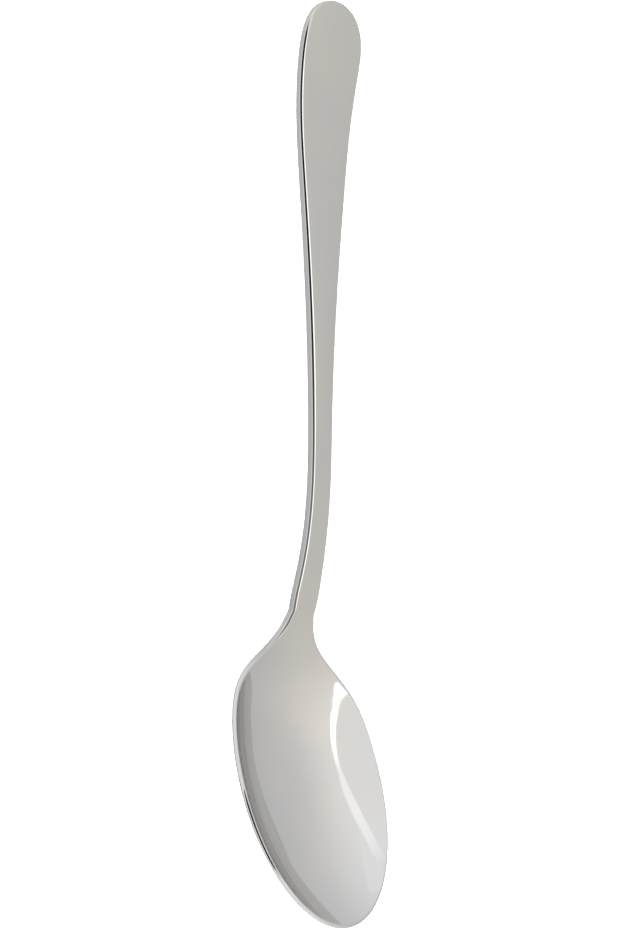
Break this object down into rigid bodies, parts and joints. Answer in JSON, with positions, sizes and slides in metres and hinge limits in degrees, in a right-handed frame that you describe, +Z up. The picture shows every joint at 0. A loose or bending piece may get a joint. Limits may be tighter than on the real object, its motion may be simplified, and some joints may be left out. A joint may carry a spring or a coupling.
{
  "type": "tablespoon",
  "caption": "Polished steel tablespoon: an egg-shaped bowl, a slim neck and a flat handle that widens to a rounded end, for eating and serving.",
  "frame": {"origin": "middle of the spoon's length and width, on the table that it lies on", "axes": "+Y from the bowl's tip to the handle's end, +Z up out of the bowl's hollow, +X across"},
  "size_m": [0.044, 0.211, 0.0229],
  "materials": {
    "bowl_steel": "polished",
    "neck_steel": "polished",
    "handle_steel": "polished"
  },
  "bodies": {
    "root": {"bowl": "bowl_steel", "neck": "neck_steel", "handle": "handle_steel"}
  },
  "joints": []
}
